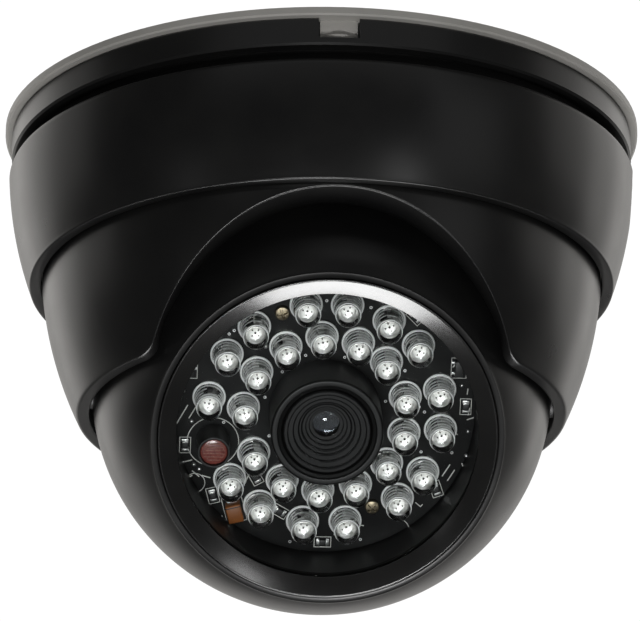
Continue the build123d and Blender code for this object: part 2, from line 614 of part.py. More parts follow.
with BuildPart() as sensor_board:
    block(face, SENSOR_BACK, SENSOR_FRONT, SENSOR_SIDE, SENSOR_SIDE)
    corners = sensor_board.edges().filter_by(lambda e: abs(e.length - SENSOR_FRONT + SENSOR_BACK) < 0.01)
    fillet(corners, SENSOR_CORNER)
save(sensor_board, "sensor_board")

with BuildPart() as sensor_standoffs:
    tube(face, SENSOR_FRONT, DRUM_BACK, STANDOFF_R, at=standoffs_at)
save(sensor_standoffs, "sensor_standoffs")

with BuildPart() as image_sensor:
    block(face, SENSOR_FRONT, CHIP_FRONT, *CHIP_SIZE)
save(image_sensor, "image_sensor")

with BuildPart() as ir_filter:
    block(face, FILTER_BACK, FILTER_FRONT, FILTER_SIDE, FILTER_SIDE)
save(ir_filter, "ir_filter")

# ---------------------------------------------------------------- lens

with BuildPart() as lens_barrel:
    tube(face, BARREL_TAIL, BARREL_BACK, THREAD_R)
    tube(face, BARREL_BACK, BARREL_FRONT, BARREL_R)
    # Mouth of narrowing steps that kill stray light, then the glass bore
    for radius, back in MOUTH_STEPS:
        tube(face, back, BARREL_FRONT, radius, mode=Mode.SUBTRACT)
    tube(face, BARREL_TAIL, GLASS_FRONT, LENS_BORE_R, mode=Mode.SUBTRACT)
save(lens_barrel, "lens_barrel")

with BuildPart() as lens_front_element:
    tube(face, GLASS_BACK, GLASS_FRONT, LENS_BORE_R)
    with Locations(face.offset(GLASS_FRONT + GLASS_RISE - GLASS_DOME_R)):
        Sphere(GLASS_DOME_R)
    tube(face, GLASS_BACK, BARREL_FRONT, LENS_BORE_R, mode=Mode.INTERSECT)
save(lens_front_element, "lens_front_element")

with BuildPart() as lens_rear_element:
    tube(face, BARREL_TAIL + 1, BARREL_TAIL + 1 + REAR_GLASS_T, LENS_BORE_R)
save(lens_rear_element, "lens_rear_element")

with BuildPart() as lens_lock_ring:
    tube(face, LOCK_RING_BACK, LOCK_RING_FRONT, HOLDER_R + 0.2, THREAD_R)
save(lens_lock_ring, "lens_lock_ring")
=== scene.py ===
import json
import math
import random

import bmesh
import bpy
from mathutils import Matrix, Vector


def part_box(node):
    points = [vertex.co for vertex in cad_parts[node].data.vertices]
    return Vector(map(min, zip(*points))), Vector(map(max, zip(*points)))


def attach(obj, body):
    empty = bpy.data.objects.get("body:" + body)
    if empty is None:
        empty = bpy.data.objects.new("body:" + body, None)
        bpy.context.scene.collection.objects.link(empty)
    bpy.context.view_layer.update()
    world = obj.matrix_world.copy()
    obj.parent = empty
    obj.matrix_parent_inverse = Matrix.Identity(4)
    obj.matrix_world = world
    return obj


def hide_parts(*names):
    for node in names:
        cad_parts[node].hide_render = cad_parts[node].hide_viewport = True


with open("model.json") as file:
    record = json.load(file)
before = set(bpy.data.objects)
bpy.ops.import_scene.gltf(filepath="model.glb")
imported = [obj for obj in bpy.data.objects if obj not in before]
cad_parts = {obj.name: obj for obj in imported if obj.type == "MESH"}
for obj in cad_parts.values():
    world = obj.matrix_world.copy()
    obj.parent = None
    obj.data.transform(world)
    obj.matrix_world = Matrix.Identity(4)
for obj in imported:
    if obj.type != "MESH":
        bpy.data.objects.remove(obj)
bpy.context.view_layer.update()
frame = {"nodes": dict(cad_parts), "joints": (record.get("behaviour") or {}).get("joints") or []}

# ------------------------------------------------------------------ frame values, metres

MM = 0.001
joints = {joint["name"]: joint for joint in frame["joints"]}
BALL = Vector(joints["tilt"]["pos_m"])
AXIS = Vector(joints["level"]["axis"]).normalized()
LIFT = Vector((1, 0, 0)).cross(AXIS) * -1
BALL_DEPTH = -BALL.z / MM

# Face frame: X along the tilt axis, Y up the face, Z out along the optical axis, in millimetres
FACE = Matrix.Translation(BALL) @ Matrix((
    (1, LIFT.x, AXIS.x, 0),
    (0, LIFT.y, AXIS.y, 0),
    (0, LIFT.z, AXIS.z, 0),
    (0, 0, 0, 1),
)) @ Matrix.Scale(MM, 4)
# Ceiling frame: X to the right, Y to the front, Z down, in millimetres, so that Z is a depth
CEILING = Matrix.Rotation(math.pi, 4, "X") @ Matrix.Scale(MM, 4)


def depth_of(node):
    """Least and greatest depth of a node below the ceiling, in millimetres."""
    low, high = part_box(node)
    return -high[2] / MM, -low[2] / MM


COVER_TOP, COVER_BOTTOM = depth_of("dome_cover")
HOOD_HIDDEN_TOP, HOOD_BOTTOM = depth_of("hood")
BALL_R = 40.26

# ------------------------------------------------------------------ nodes and materials

ROUGH_SPREAD = 0.06
COAT_ROUGHNESS = 0.12

def new_material(name):
    """New node material, with its nodes, its links and its main shader."""
    material = bpy.data.materials.new(name)
    material.use_nodes = True
    tree = material.node_tree
    return material, tree.nodes, tree.links, tree.nodes["Principled BSDF"]


def noise(nodes, links, scale, detail=3.0, roughness=0.5, stretch=(1, 1, 1)):
    """Noise in the object's own metres; scale counts features per metre."""
    place = nodes.new("ShaderNodeTexCoord")
    mapping = nodes.new("ShaderNodeMapping")
    mapping.inputs["Scale"].default_value = stretch
    texture = nodes.new("ShaderNodeTexNoise")
    texture.inputs["Scale"].default_value = scale
    texture.inputs["Detail"].default_value = detail
    texture.inputs["Roughness"].default_value = roughness
    links.new(place.outputs["Object"], mapping.inputs["Vector"])
    links.new(mapping.outputs["Vector"], texture.inputs["Vector"])
    return texture.outputs["Fac"]


def remap(nodes, links, source, low, high, out_low, out_high):
    """Linear remap of a value, clamped."""
    node = nodes.new("ShaderNodeMapRange")
    for socket, value in zip(("From Min", "From Max", "To Min", "To Max"), (low, high, out_low, out_high)):
        node.inputs[socket].default_value = value
    links.new(source, node.inputs["Value"])
    return node.outputs["Result"]


def mixed_colour(nodes, links, factor, first, second):
    """Colour between two colours."""
    node = nodes.new("ShaderNodeMix")
    node.data_type = "RGBA"
    node.inputs["A"].default_value = (*first, 1)
    node.inputs["B"].default_value = (*second, 1)
    links.new(factor, node.inputs["Factor"])
    return node.outputs["Result"]


def moulded(name, dark, light, rough, grain=9000, bump=0.00001, coat=0.0, metallic=0.0, ior=1.5, specular=0.5,
            mottle=90):
    """Moulded or coated surface: fine grain in the bump, broad mottling in colour and roughness."""
    material, nodes, links, shader = new_material(name)
    fine = noise(nodes, links, grain, 4.0, 0.6)
    broad = noise(nodes, links, mottle, 3.0, 0.55)
    links.new(mixed_colour(nodes, links, remap(nodes, links, broad, 0.3, 0.7, 0, 1), dark, light),
              shader.inputs["Base Color"])
    links.new(remap(nodes, links, broad, 0.25, 0.75, rough - ROUGH_SPREAD / 2, rough + ROUGH_SPREAD / 2),
              shader.inputs["Roughness"])
    relief = nodes.new("ShaderNodeBump")
    relief.inputs["Strength"].default_value = 1.0
    relief.inputs["Distance"].default_value = bump
    links.new(fine, relief.inputs["Height"])
    links.new(relief.outputs["Normal"], shader.inputs["Normal"])
    shader.inputs["Metallic"].default_value = metallic
    shader.inputs["IOR"].default_value = ior
    shader.inputs["Specular IOR Level"].default_value = specular
    shader.inputs["Coat Weight"].default_value = coat
    shader.inputs["Coat Roughness"].default_value = COAT_ROUGHNESS
    return material


def clear(name, tint, ior, rough=0.0, streak=0.0, clarity=1.0):
    """Clear glass or epoxy, or, with low clarity, a whitish frosted one used as painted highlight on the
    diodes, with faint flow streaks in its roughness.
    """
    material, nodes, links, shader = new_material(name)
    haze = noise(nodes, links, 600, 2.0)
    links.new(mixed_colour(nodes, links, haze, tint, tuple(min(1, c * 1.03) for c in tint)),
              shader.inputs["Base Color"])
    links.new(remap(nodes, links, haze, 0.3, 0.7, rough, rough + streak), shader.inputs["Roughness"])
    shader.inputs["Transmission Weight"].default_value = clarity
    shader.inputs["IOR"].default_value = ior
    return material


def thin_window(name):
    """Flat window pane: light passes straight through, and a Fresnel share of it reflects."""
    material, nodes, links, shader = new_material(name)
    see = nodes.new("ShaderNodeBsdfTransparent")
    shine = nodes.new("ShaderNodeBsdfGlossy")
    share = nodes.new("ShaderNodeFresnel")
    mix = nodes.new("ShaderNodeMixShader")
    smudge = noise(nodes, links, 220, 4.0, 0.6)
    see.inputs["Color"].default_value = (0.96, 0.97, 0.97, 1)
    share.inputs["IOR"].default_value = 1.3
    links.new(remap(nodes, links, smudge, 0.3, 0.8, 0.01, 0.05), shine.inputs["Roughness"])
    links.new(share.outputs["Fac"], mix.inputs["Fac"])
    links.new(see.outputs["BSDF"], mix.inputs[1])
    links.new(shine.outputs["BSDF"], mix.inputs[2])
    links.new(mix.outputs["Shader"], nodes["Material Output"].inputs["Surface"])
    nodes.remove(shader)
    return material


BLACK = moulded("satin_black", (0.0065, 0.0065, 0.0068), (0.009, 0.009, 0.0087), 0.30, 5200, 0.0000030)
BEZEL = moulded("bezel_black", (0.004, 0.004, 0.004), (0.006, 0.006, 0.0058), 0.22, 6500, 0.0000030, ior=2.0)
SHADE = moulded("shade_black", (0.006, 0.006, 0.006), (0.010, 0.010, 0.010), 0.42, 7000, 0.000004)
RUBBER = moulded("black_rubber", (0.004, 0.004, 0.004), (0.008, 0.008, 0.008), 0.8, 5000, 0.00002,
                 specular=0.25)
PALE = moulded("pale_plate", (0.40, 0.39, 0.365), (0.46, 0.445, 0.42), 0.42, 6000, 0.000004)
SLIP = moulded("slip_plastic", (0.62, 0.61, 0.57), (0.70, 0.69, 0.65), 0.45, 5000, 0.000006)
NICKEL = moulded("nickel_plate", (0.66, 0.65, 0.62), (0.78, 0.77, 0.74), 0.2, 9000, 0.000002, metallic=1.0)
STEEL = moulded("black_steel", (0.05, 0.05, 0.052), (0.08, 0.08, 0.08), 0.35, 9000, 0.000004, metallic=1.0)
BRASS = moulded("aged_brass", (0.26, 0.22, 0.15), (0.40, 0.34, 0.24), 0.36, 9000, 0.000004, metallic=1.0)
SILVER = moulded("leadframe_silver", (0.93, 0.93, 0.91), (0.98, 0.98, 0.96), 0.40, 9000, 0.000004,
                 metallic=1.0)
TIN = moulded("solder_tin", (0.55, 0.55, 0.55), (0.78, 0.78, 0.78), 0.3, 14000, 0.000012, metallic=1.0)
MASK = moulded("solder_mask", (0.0025, 0.0025, 0.003), (0.006, 0.0066, 0.0064), 0.30, 3800, 0.000008,
               specular=0.25)
GREEN = moulded("green_mask", (0.01, 0.08, 0.03), (0.02, 0.13, 0.05), 0.3, 3800, 0.00001)
PRINT = moulded("silk_print", (0.52, 0.52, 0.49), (0.74, 0.74, 0.71), 0.6, 12000, 0.000004, mottle=700)
CHIP = moulded("chip_black", (0.012, 0.012, 0.012), (0.02, 0.02, 0.02), 0.45, 12000, 0.000006)
LDR_TRACK = moulded("sensor_red", (0.17, 0.022, 0.020), (0.34, 0.085, 0.060), 0.4, 7000, 0.00002,
                    coat=0.5, mottle=1500)
LDR_LINE = moulded("sensor_electrode", (0.24, 0.06, 0.045), (0.42, 0.17, 0.12), 0.4, 7000, 0.00001,
                   coat=0.5, mottle=2200)
ORANGE = moulded("orange_epoxy", (0.22, 0.065, 0.010), (0.32, 0.10, 0.016), 0.38, 8000, 0.000012)
DIE = moulded("emitter_die", (0.03, 0.03, 0.03), (0.07, 0.065, 0.06), 0.4, 20000, 0.000002)
ANODISED = moulded("anodised_black", (0.005, 0.005, 0.0055), (0.008, 0.008, 0.009), 0.34, 3000, 0.0000004)
EPOXY = clear("led_epoxy", (0.97, 0.975, 0.975), 1.5, 0.0, 0.03)
# Painted highlight: a whitish, mostly diffuse epoxy that stands in for light caught by the diodes' moulded
# steps and edges
PAINTED_HIGHLIGHT = clear("painted_highlight_epoxy", (0.95, 0.96, 0.95), 1.5, 0.38, 0.1, 0.12)
COATED = clear("coated_glass", (0.62, 0.66, 0.74), 1.6, 0.0, 0.02)
FILTER = clear("filter_glass", (0.55, 0.75, 0.80), 1.5, 0.0, 0.02)
PANE = thin_window("window_pane")

# ------------------------------------------------------------------ mesh helpers


def finish_mesh(name, mesh, materials, body, nodes=(), sharp=35):
    """Put a mesh in the scene as a piece that rides on a body and stands for some CAD nodes."""
    mesh.update()
    mesh.shade_smooth()
    mesh.set_sharp_from_angle(angle=math.radians(sharp))
    piece = bpy.data.objects.new(name, mesh)
    bpy.context.scene.collection.objects.link(piece)
    for material in materials:
        mesh.materials.append(material)
    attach(piece, body)
    if nodes:
        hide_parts(*nodes)
    return piece


def arc(centre, radius, start, end, steps):
    """Points on an arc in a section, with angles in degrees from the radial towards the axis direction."""
    turns = [math.radians(start + (end - start) * i / steps) for i in range(steps + 1)]
    return [(centre[0] + radius * math.cos(t), centre[1] + radius * math.sin(t)) for t in turns]


def eased(points, radius, steps=4):
    """Closed section with every corner rounded, or less where its sides are short."""
    result = []
    count = len(points)
    for i, corner in enumerate(points):
        corner = Vector(corner)
        before = Vector(points[i - 1]) - corner
        after = Vector(points[(i + 1) % count]) - corner
        if before.length < 1e-6 or after.length < 1e-6:
            continue
        bend = before.angle(after)
        if bend > math.radians(165):
            result.append(tuple(corner))
            continue
        reach = min(radius, before.length * 0.45, after.length * 0.45)
        start = corner + before.normalized() * reach
        end = corner + after.normalized() * reach
        for k in range(steps + 1):
            t = k / steps
            result.append(tuple(start * (1 - t) ** 2 + corner * 2 * t * (1 - t) + end * t ** 2))
    return result


def revolve_into(bm, section, place, segments=96, material=0, closed=True, shape=None):
    """Revolve a section of (radius, distance) points about the Z axis of a frame, into a mesh.

    shape may change a point, given its radius, its distance and its angle from the frame's +Y."""
    rings = []
    for radius, distance in section:
        if radius < 1e-6:
            rings.append([bm.verts.new(place @ Vector((0, 0, distance)))])
            continue
        ring = []
        for k in range(segments):
            turn = 2 * math.pi * k / segments
            r, d = shape(radius, distance, turn) if shape else (radius, distance)
            ring.append(bm.verts.new(place @ Vector((r * math.sin(turn), r * math.cos(turn), d))))
        rings.append(ring)
    pairs = list(zip(rings, rings[1:]))
    if closed and len(rings[0]) > 1 and len(rings[-1]) > 1:
        pairs.append((rings[-1], rings[0]))
    faces = []
    for first, second in pairs:
        if len(first) == 1 and len(second) == 1:
            continue
        for k in range(segments):
            nxt = (k + 1) % segments
            if len(first) == 1:
                corners = (first[0], second[nxt], second[k])
            elif len(second) == 1:
                corners = (first[k], first[nxt], second[0])
            else:
                corners = (first[k], first[nxt], second[nxt], second[k])
            faces.append(bm.faces.new(corners))
    for face in faces:
        face.material_index = material
    return faces


def mesh_from(bm, name):
    """Turn a finished bmesh into a mesh with outward faces."""
    bmesh.ops.recalc_face_normals(bm, faces=bm.faces)
    mesh = bpy.data.meshes.new(name)
    bm.to_mesh(mesh)
    bm.free()
    return mesh


def piece_from(bm, name, materials, body, nodes=(), sharp=40):
    """Turn a finished bmesh straight into a piece."""
    return finish_mesh(name, mesh_from(bm, name), materials, body, nodes, sharp)


def revolved(name, section, place, materials, body, nodes, segments=192, shape=None, sharp=35):
    """One revolved piece."""
    bm = bmesh.new()
    revolve_into(bm, section, place, segments, shape=shape)
    return piece_from(bm, name, materials, body, nodes, sharp)


def box_into(bm, centre, size, place, turn=0.0, round_by=0.1, material=0):
    """Rounded box, its base on the frame's Z plane at centre[2], turned about Z, into a mesh."""
    made = bmesh.ops.create_cube(bm, size=1.0)["verts"]
    spin = Matrix.Rotation(math.radians(turn), 4, "Z")
    for v in made:
        v.co = Vector((v.co.x * size[0], v.co.y * size[1], (v.co.z + 0.5) * size[2]))
    edges = {e for v in made for e in v.link_edges}
    rounded = bmesh.ops.bevel(bm, geom=list(edges), offset=round_by, segments=3, profile=0.5, affect="EDGES")
    verts = {v for v in made if v.is_valid} | set(rounded["verts"])
    for v in verts:
        v.co = place @ (Vector(centre) + spin @ v.co)
    for face in {f for v in verts for f in v.link_faces}:
        face.material_index = material


def clock(radius, angle):
    """Point on the face at a clockwise angle from its top."""
    return radius * math.sin(math.radians(angle)), radius * math.cos(math.radians(angle))


def smooth(t):
    """Smooth step from 0 to 1."""
    t = max(0.0, min(1.0, t))
    return t * t * (3 - 2 * t)


# ------------------------------------------------------------------ cover and hood

COVER_TOP_R = 55.2
COVER_LOW_R = 51.2
COVER_ARC_R = 68.0
COVER_LIP_R = 49.35
COVER_LIP_TOP = 27.5
COVER_WALL = 1.6
COVER_BORE_R = 51.3
COVER_BORE_TOP = 14.0
COVER_FLANGE_R = 50.3
COVER_FLANGE = 10.7
COVER_ARC_CENTRE = (COVER_TOP_R - COVER_ARC_R * math.cos(math.asin(2.2 / COVER_ARC_R)), 6.8)
POCKET_TURN = math.radians(87)
POCKET_DEPTH = 9.4
POCKET_R = 6.9
POCKET_DEEP = 2.9


def wall_radius(centre, radius, depth):
    """Radius of a bulging wall at a depth."""
    return centre[0] + math.sqrt(radius ** 2 - (depth - centre[1]) ** 2)


def scallop(radius, depth, turn):
    """Push the cover's shoulder in at the finger pocket on the right side (+X)."""
    if radius < COVER_LOW_R - 0.4:
        return radius, depth
    across = (turn - POCKET_TURN) * COVER_TOP_R
    reach = math.hypot(across / 0.9, (depth - POCKET_DEPTH) / 1.15)
    return radius - POCKET_DEEP * smooth((POCKET_R - reach) / (0.55 * POCKET_R)), depth


def make_cover():
    """Upper bell tier with a rounded shoulder, a crisp lip and the scalloped pocket."""
    rows = 44
    outer = []
    for i in range(rows + 1):
        depth = COVER_TOP + 0.5 + (COVER_BOTTOM - COVER_TOP - 0.8) * i / rows
        outer.append((wall_radius(COVER_ARC_CENTRE, COVER_ARC_R, depth), depth))
    top_r = outer[0][0]
    low_r = outer[-1][0]
    shoulder = [(top_r - 0.75, COVER_TOP), (top_r - 0.3, COVER_TOP + 0.06), (top_r - 0.08, COVER_TOP + 0.24)]
    lip = [(low_r - 0.04, COVER_BOTTOM - 0.14), (low_r - 0.15, COVER_BOTTOM - 0.03),
           (low_r - 0.32, COVER_BOTTOM)]
    inner = [(COVER_LIP_R + 0.2, COVER_BOTTOM), (COVER_LIP_R + 0.03, COVER_BOTTOM - 0.1),
             (COVER_LIP_R, COVER_BOTTOM - 0.3), (COVER_LIP_R, COVER_LIP_TOP),
             (low_r - COVER_WALL, COVER_LIP_TOP), (COVER_BORE_R, COVER_BORE_TOP),
             (COVER_FLANGE_R, COVER_FLANGE), (COVER_FLANGE_R, COVER_TOP)]
    revolved("cover_tier", shoulder + outer + lip + inner, CEILING, [BLACK], "base", ["dome_cover"],
             480, shape=scallop)


HOOD_TOP = 30.5
HOOD_TOP_R = 49.05
HOOD_ARC_R = 70.0
HOOD_ARC_CENTRE = (-20.6, 23.7)
CAVITY_R = 41.0
ARCH_R = 32.0
ARCH_CENTRE = 62.0
ARCH_CORNER = 3.0
ARCH_REACH = math.radians(75)
REVEAL_TURN_START = math.radians(38)
REVEAL_TURN_SPAN = math.radians(14)
HOOD_EASE = 0.42
BORE_EASE = 0.15


def hood_radius(depth):
    """Outer radius of the hood at a depth."""
    if depth <= HOOD_TOP:
        return HOOD_TOP_R
    at_top = wall_radius(HOOD_ARC_CENTRE, HOOD_ARC_R, HOOD_TOP)
    return HOOD_TOP_R + wall_radius(HOOD_ARC_CENTRE, HOOD_ARC_R, depth) - at_top


def edge_depth_at(across):
    """Depth of the hood's lower edge at a sideways distance: arch, rounded corner, level edge."""
    corner_centre_depth = HOOD_BOTTOM - ARCH_CORNER
    corner_x = math.sqrt((ARCH_R + ARCH_CORNER) ** 2 - (ARCH_CENTRE - corner_centre_depth) ** 2)
    touch_x = corner_x * ARCH_R / (ARCH_R + ARCH_CORNER)
    if across <= touch_x:
        return ARCH_CENTRE - math.sqrt(ARCH_R ** 2 - across ** 2)
    if across < corner_x:
        return corner_centre_depth + math.sqrt(max(0.0, ARCH_CORNER ** 2 - (corner_x - across) ** 2))
    return HOOD_BOTTOM


def edge_depth(turn):
    """Depth of the hood's lower edge at an angle from the front: the edge where the wall meets the arch."""
    if abs(turn) > ARCH_REACH:
        return HOOD_BOTTOM
    low, high = 25.0, HOOD_BOTTOM
    for _ in range(40):
        middle = (low + high) / 2
        if edge_depth_at(hood_radius(middle) * math.sin(abs(turn))) > middle:
            low = middle
        else:
            high = middle
    return (low + high) / 2


def cavity_radius(depth):
    """Inner radius of the hood at a depth: a bore above the ball's equator, a socket below it."""
    if depth <= BALL_DEPTH:
        return CAVITY_R
    return math.sqrt(CAVITY_R ** 2 - (depth - BALL_DEPTH) ** 2)


def make_hood():
    """Lower bell tier with the arch: one closed loop of points at each angle from the front."""
    rows = 40
    columns = 720
    top = HOOD_HIDDEN_TOP
    bm = bmesh.new()
    loops = []
    for k in range(columns):
        turn = 2 * math.pi * k / columns
        signed = turn if turn <= math.pi else turn - 2 * math.pi
        low = edge_depth(signed)
        sine, cosine = math.sin(signed), math.cos(signed)
        points = []
        for i in range(rows + 1):
            depth = top + (low - HOOD_EASE - top) * (i / rows) ** 0.8
            r = hood_radius(depth)
            points.append(Vector((r * sine, r * cosine, depth)))
        edge = Vector((hood_radius(low) * sine, hood_radius(low) * cosine, low))
        # The reveal runs straight back under the arch, and radially inward under the level edge
        blend = smooth((abs(signed) - REVEAL_TURN_START) / REVEAL_TURN_SPAN)
        inward = Vector((-sine * blend, -1 + (1 - cosine) * blend, 0)).normalized()
        bore = cavity_radius(low)
        flat = Vector((edge.x, edge.y, 0))
        along = flat.dot(inward)
        gap = along ** 2 - flat.length ** 2 + bore ** 2
        run = max(0.9, -along - math.sqrt(max(0.0, gap)))
        start = points[-1]
        end = edge + inward * min(HOOD_EASE, run * 0.4)
        for i in range(1, 6):
            t = i / 5
            points.append(start * (1 - t) ** 2 + edge * 2 * t * (1 - t) + end * t ** 2)
        for i in range(1, 7):
            points.append(end.lerp(edge + inward * (run - BORE_EASE), i / 6))
        last = edge + inward * run
        points.append(last + Vector((0, 0, -BORE_EASE)))
        inner_turn = math.atan2(last.x, last.y)
        for i in range(1, 9):
            depth = low - BORE_EASE + (top - low + BORE_EASE) * i / 8
            r = cavity_radius(depth)
            if depth >= BALL_DEPTH:
                r = min(r, last.xy.length)
            wall_turn = inner_turn + (signed - inner_turn) * smooth(i / 8)
            points.append(Vector((r * math.sin(wall_turn), r * math.cos(wall_turn), depth)))
        loops.append([bm.verts.new(CEILING @ p) for p in points])
    size = len(loops[0])
    for k in range(columns):
        here, there = loops[k], loops[(k + 1) % columns]
        for i in range(size):
            j = (i + 1) % size
            bm.faces.new((here[i], here[j], there[j], there[i]))
    piece_from(bm, "hood_tier", [BLACK], "hood", ["hood"], 50)


# ------------------------------------------------------------------ eyeball

SHELL_FRONT = 26.6
SPLIT = -6.0
COLLAR_R = 29.3
LEDGE_R = 27.35
LEDGE_FRONT = 20.1
LEDGE_BACK = 19.5
BALL_INNER_R = 38.1


def make_front_shell():
    """Front half of the eyeball, with a fine seam at its split and a crisp collar rim."""
    rim_angle = math.degrees(math.asin((SHELL_FRONT - 0.25) / BALL_R))
    seam_angle = math.degrees(math.asin((SPLIT + 0.12) / BALL_R))
    outer = arc((0, 0), BALL_R, seam_angle, rim_angle, 90)
    rim = [(outer[-1][0] - 0.12, SHELL_FRONT - 0.06), (COLLAR_R + 0.2, SHELL_FRONT),
           (COLLAR_R + 0.04, SHELL_FRONT - 0.08)]
    inner_rim = math.degrees(math.asin(LEDGE_BACK / BALL_INNER_R))
    inner_seam = math.degrees(math.asin(SPLIT / BALL_INNER_R))
    inside = [(COLLAR_R, SHELL_FRONT - 0.3), (COLLAR_R, LEDGE_FRONT), (LEDGE_R, LEDGE_FRONT),
              (LEDGE_R, LEDGE_BACK)]
    inside += arc((0, 0), BALL_INNER_R, inner_rim, inner_seam, 16)
    inside += [(BALL_R - 0.5, SPLIT), (BALL_R - 0.12, SPLIT + 0.02)]
    revolved("eyeball_front", outer + rim + inside, FACE, [BLACK], "eyeball", ["eyeball_shell_front"],
             320)


# ------------------------------------------------------------------ camera module

BEZEL_R = 29.2
FACE_FRONT = 26.9
BEZEL_LIP_R = 28.9
BEZEL_SEAT_R = 27.0
BEZEL_BACK = 20.2
BEZEL_THROAT_R = 26.0
BEZEL_THROAT = 25.3
WINDOW_R = 26.9
WINDOW_FRONT = 25.1
WINDOW_BACK = 24.9
BOARD_FRONT = 13.4
OUTER_LED_R = 20.3
INNER_LED_R = 14.2
OUTER_LED_ANGLES = (-148, -127.5, -82.4, -58.6, -39, -11.4, 9, 31, 50.5, 76, 97, 121, 139.5, 168, 189)
INNER_LED_ANGLES = (-150.5, -121.5, -86.5, -58.4, -30.6, -4.2, 21.8, 46.3, 75.8, 103, 129, 155.9, 183)


def make_bezel():
    """Ring with a narrow flat rim, a polished funnel and a small step before the window."""
    corners = [(BEZEL_R, BEZEL_BACK), (BEZEL_R, FACE_FRONT - 0.12), (BEZEL_R - 0.15, FACE_FRONT),
               (BEZEL_LIP_R, FACE_FRONT), (BEZEL_THROAT_R, BEZEL_THROAT), (BEZEL_THROAT_R, WINDOW_FRONT),
               (BEZEL_SEAT_R, WINDOW_FRONT), (BEZEL_SEAT_R, BEZEL_BACK)]
    revolved("bezel", eased(corners, 0.1), FACE, [BEZEL], "module", ["bezel_ring"], 320)


def make_window():
    """Thin pane with an eased edge."""
    front = WINDOW_FRONT - 0.02
    corners = [(0, WINDOW_BACK), (WINDOW_R, WINDOW_BACK), (WINDOW_R, front), (0, front)]
    section = [corners[0]] + eased(corners, 0.05)[5:-5] + [corners[-1]]
    return revolved("window_pane", section, FACE, [PANE], "module", ["front_window"], 192)


LED_R = 2.5
LED_H = 8.55
LED_BANDS = (1.55, 2.75, 3.95, 5.05)
BAND_H = 0.42
BAND_STEP = 0.07
BAND_GAP = 0.86
SHOULDER = 6.15
SHOULDER_STEP = 0.16
CUP_R = 0.88
CUP_FLOOR = 5.3
DOT_RING_R = 0.36
LEAN = 1.6


def led_epoxy_section():
    """Closed section of one diode's clear body: flange, side with stepped bands, and domed tip."""
    section = [(0, 0), (2.7, 0), (2.88, 0.1), (2.9, 0.2), (2.9, 0.8), (2.84, 0.95), (2.7, 1.0), (2.56, 1.03),
               (LED_R, 1.1)]
    radius = LED_R
    for start in LED_BANDS:
        section += [(radius, start), (radius - 0.03, start + BAND_H)]
        radius -= BAND_STEP
        section += [(radius, start + BAND_H + 0.02)]
    section += [(radius, SHOULDER), (radius - SHOULDER_STEP, SHOULDER + 0.06)]
    radius -= SHOULDER_STEP
    section += [(r, d) for r, d in arc((0, LED_H - radius), radius, 0, 90, 16)[1:-1]] + [(0, LED_H)]
    return section


def make_leds(name, ring_r, angles, node, seed):
    """Clear diodes on one ring, each with its own small lean, and the leadframe that shows inside."""
    chance = random.Random(seed)
    body, metal = bmesh.new(), bmesh.new()
    section = led_epoxy_section()
    cup = [(0, CUP_FLOOR), (0.50, CUP_FLOOR), (0.58, CUP_FLOOR + 0.04), (0.76, 5.6), (0.82, 5.63),
           (CUP_R, 5.58), (CUP_R, 4.8), (0.5, 4.1), (0, 4.1)]
    for angle in angles:
        x, y = clock(ring_r, angle)
        lean = Matrix.Rotation(math.radians(chance.uniform(-LEAN, LEAN)), 4, "X") @ Matrix.Rotation(
            math.radians(chance.uniform(-LEAN, LEAN)), 4, "Y")
        turn = Matrix.Rotation(math.radians(chance.uniform(-35, 35)), 4, "Z")
        place = on_board((x, y)) @ lean @ turn
        to_local = place.inverted()
        gaps = [chance.uniform(-math.pi, math.pi) for _ in LED_BANDS]
        for wall in revolve_into(body, section, place, 48):
            # Painted highlight: whitish frosted faces on the flange edge, the shoulder below the dome and
            # broken bands around the side stand in for light caught by the moulded steps
            local = to_local @ wall.calc_center_median()
            reach = math.hypot(local.x, local.y)
            around = math.atan2(local.x, local.y)
            band = [i for i, start in enumerate(LED_BANDS) if start < local.z < start + BAND_H + 0.02]
            broken = band and math.cos(around - gaps[band[0]]) > BAND_GAP
            shoulder = SHOULDER < local.z < SHOULDER + 0.06
            if reach > 2.62 and 0.6 < local.z < 1.02 or band and not broken or shoulder:
                wall.material_index = 1
        revolve_into(metal, cup, place, 40, 0)
        box_into(metal, (0.30, 0, 0.2), (0.55, 0.5, 3.95), place, 0, 0.06, 0)
        box_into(metal, (-1.6, 0, 0.2), (0.5, 0.5, 4.5), place, 0, 0.06, 0)
        box_into(metal, (0, 0, CUP_FLOOR), (0.16, 0.16, 0.1), place, 0, 0.02, 1)
        for dot in range(4):
            across, along = clock(DOT_RING_R, 45 + 90 * dot)
            box_into(metal, (across, along, CUP_FLOOR), (0.11, 0.11, 0.08), place, 45, 0.02, 1)
    clear_part = piece_from(body, name + "_epoxy", [EPOXY, PAINTED_HIGHLIGHT], "module", [node], 30)
    metal_part = piece_from(metal, name + "_leadframes", [SILVER, DIE], "module", ())
    return [clear_part, metal_part]


# ------------------------------------------------------------------ board parts

LDR_AT = (-19.2, -5.5)
LDR_R = 2.36
LDR_FACE = 6.05
LDR_TRACK_R = 1.85
SHROUD_BORE = 2.4
SHROUD_R = 2.85
SHROUD_H = 6.5
CAPACITOR_AT = (-15.1, -18.4)
CAPACITOR_TURN = 15
CAPACITOR_SIZE = (2.7, 3.3, 2.5)
BOARD_SCREWS_AT = ((-8.0, 18.2), (8.9, -17.3))
RESISTORS = (((-18.9, -15.9), 15), ((-11.6, -12.3), 30), ((-7.2, -18.6), 60), ((15.0, 17.9), 45),
             ((19.9, -13.9), 20), ((0.5, -24.2), 90), ((-24.0, -6.6), 0), ((24.4, 1.5), 0))
TRANSISTORS_AT = ((-23.6, 7.6), (22.9, 8.6))


def on_board(spot, turn=0.0):
    """Frame on the board's face at a spot, turned about its normal."""
    spin = Matrix.Rotation(math.radians(turn), 4, "Z")
    return FACE @ Matrix.Translation((spot[0], spot[1], BOARD_FRONT)) @ spin


